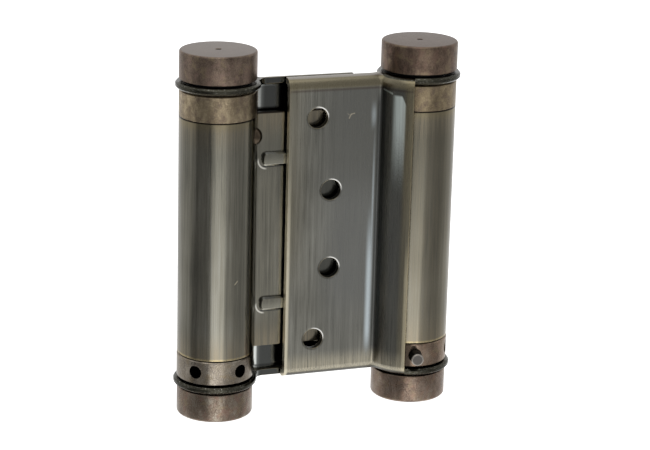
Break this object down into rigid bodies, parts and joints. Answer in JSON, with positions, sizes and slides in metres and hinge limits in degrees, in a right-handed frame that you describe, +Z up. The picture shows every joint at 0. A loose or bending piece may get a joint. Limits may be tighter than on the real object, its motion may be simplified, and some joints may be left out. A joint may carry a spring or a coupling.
{
  "type": "double action spring hinge",
  "caption": "Double action spring hinge: a folded centre leaf with a spring barrel at each side, two swinging leaves, tension collars and pins.",
  "frame": {"origin": "on the ground under the bottom caps, midway between the two barrel axes", "axes": "+X from the left barrel to the right barrel, +Y from the front leaf through to the back leaf, +Z up along the barrels"},
  "size_m": [0.0728, 0.0264, 0.0926],
  "materials": {
    "leaf_plate": "antique brass plate, brushed upright, edges worn bright",
    "turned_brown": "antique copper brown plate, mottled",
    "bare_steel": "bare steel",
    "spring_steel": "oiled spring steel"
  },
  "bodies": {
    "centre": {"centre_leaf": "leaf_plate", "right_top_cap": "turned_brown", "left_top_cap": "turned_brown", "right_bottom_cap": "turned_brown", "left_bottom_cap": "turned_brown", "right_spindle": "bare_steel", "left_spindle": "bare_steel", "right_top_washer": "bare_steel", "left_top_washer": "bare_steel", "right_bottom_washer": "bare_steel", "left_bottom_washer": "bare_steel", "right_spring_plug": "turned_brown", "left_spring_plug": "turned_brown", "right_plug_rivet": "turned_brown", "left_plug_rivet": "turned_brown", "right_torsion_spring": "spring_steel", "left_torsion_spring": "spring_steel"},
    "front_leaf": {"front_leaf": "leaf_plate"},
    "back_leaf": {"back_leaf": "leaf_plate"},
    "right_collar": {"right_tension_collar": "turned_brown"},
    "left_collar": {"left_tension_collar": "turned_brown"},
    "right_pin": {"right_tension_pin": "bare_steel"},
    "left_pin": {"left_tension_pin": "bare_steel"}
  },
  "joints": [
    {"name": "front_leaf_swing", "type": "hinge", "parent": "centre", "child": "front_leaf", "pos_m": [0.026, 0, 0.0463], "axis": [0, 0, 1], "range_deg": [0, 180], "stiffness_Nm_per_rad": 0.3, "springref_deg": -114.59},
    {"name": "back_leaf_swing", "type": "hinge", "parent": "centre", "child": "back_leaf", "pos_m": [-0.026, 0, 0.0463], "axis": [0, 0, 1], "range_deg": [0, 180], "stiffness_Nm_per_rad": 0.3, "springref_deg": -114.59},
    {"name": "right_collar_turn", "type": "hinge", "parent": "front_leaf", "child": "right_collar", "pos_m": [0.026, 0, 0.013], "axis": [0, 0, 1], "range_deg": [0, 144], "stiffness_Nm_per_rad": 0.1, "springref_deg": -57.3, "deforming": ["right_torsion_spring"]},
    {"name": "left_collar_turn", "type": "hinge", "parent": "back_leaf", "child": "left_collar", "pos_m": [-0.026, 0, 0.013], "axis": [0, 0, 1], "range_deg": [0, 144], "stiffness_Nm_per_rad": 0.1, "springref_deg": -57.3, "deforming": ["left_torsion_spring"]},
    {"name": "right_pin_pull", "type": "slide", "parent": "right_collar", "child": "right_pin", "axis": [-0.1908, -0.9816, 0], "range_m": [0, 0.006]},
    {"name": "left_pin_pull", "type": "slide", "parent": "left_collar", "child": "left_pin", "axis": [0.1908, 0.9816, 0], "range_m": [0, 0.006]}
  ]
}
